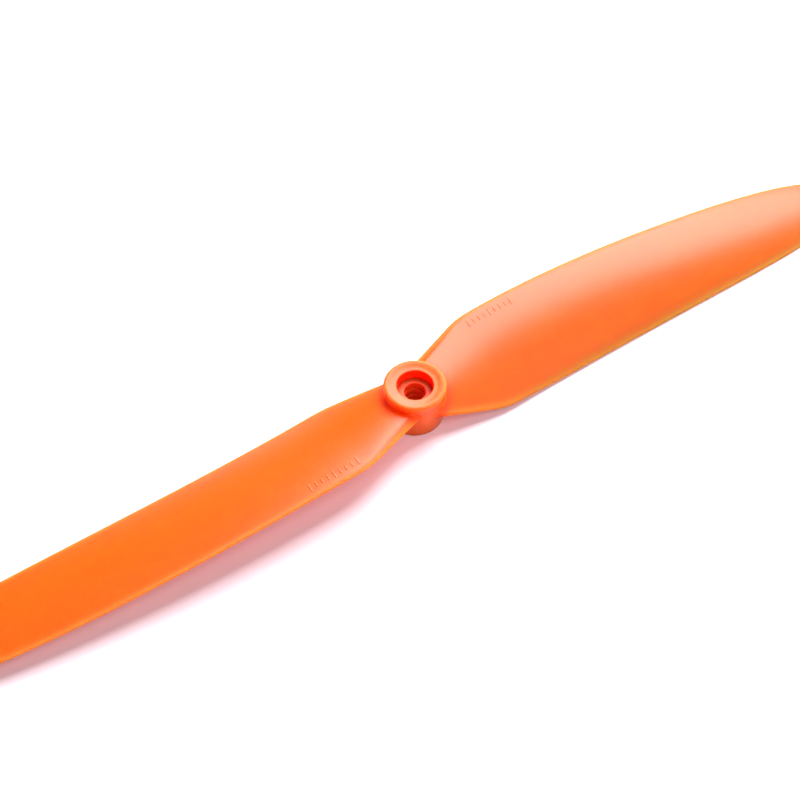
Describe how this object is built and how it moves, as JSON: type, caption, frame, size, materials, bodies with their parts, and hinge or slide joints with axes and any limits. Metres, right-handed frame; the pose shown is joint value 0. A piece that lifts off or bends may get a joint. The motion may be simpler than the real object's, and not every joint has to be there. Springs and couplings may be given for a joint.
{
  "type": "model aeroplane propeller",
  "caption": "Two-blade moulded propeller for an electric model aeroplane, with loose adapter rings stacked in its hub socket to suit the motor shaft.",
  "frame": {"origin": "on the shaft axis at the hub's back face", "axes": "+Z along the shaft axis, out of the hub's front face; +X along the first blade, whose leading edge is its +Y edge"},
  "size_m": [0.254, 0.0258, 0.0105],
  "materials": {
    "orange_nylon": "moulded, slightly translucent",
    "ring_nylon": "moulded, slightly translucent"
  },
  "bodies": {
    "propeller": {"propeller": "orange_nylon"},
    "small_ring": {"adapter_ring_small": "ring_nylon"},
    "medium_ring": {"adapter_ring_medium": "ring_nylon"},
    "large_ring": {"adapter_ring_large": "ring_nylon"}
  },
  "joints": [
    {"name": "small_ring_lift", "type": "slide", "parent": "propeller", "child": "small_ring", "axis": [0, 0, 1], "range_m": [0, 0.012]},
    {"name": "medium_ring_lift", "type": "slide", "parent": "small_ring", "child": "medium_ring", "axis": [0, 0, 1], "range_m": [0, 0.01]},
    {"name": "large_ring_lift", "type": "slide", "parent": "medium_ring", "child": "large_ring", "axis": [0, 0, 1], "range_m": [0, 0.008]}
  ]
}
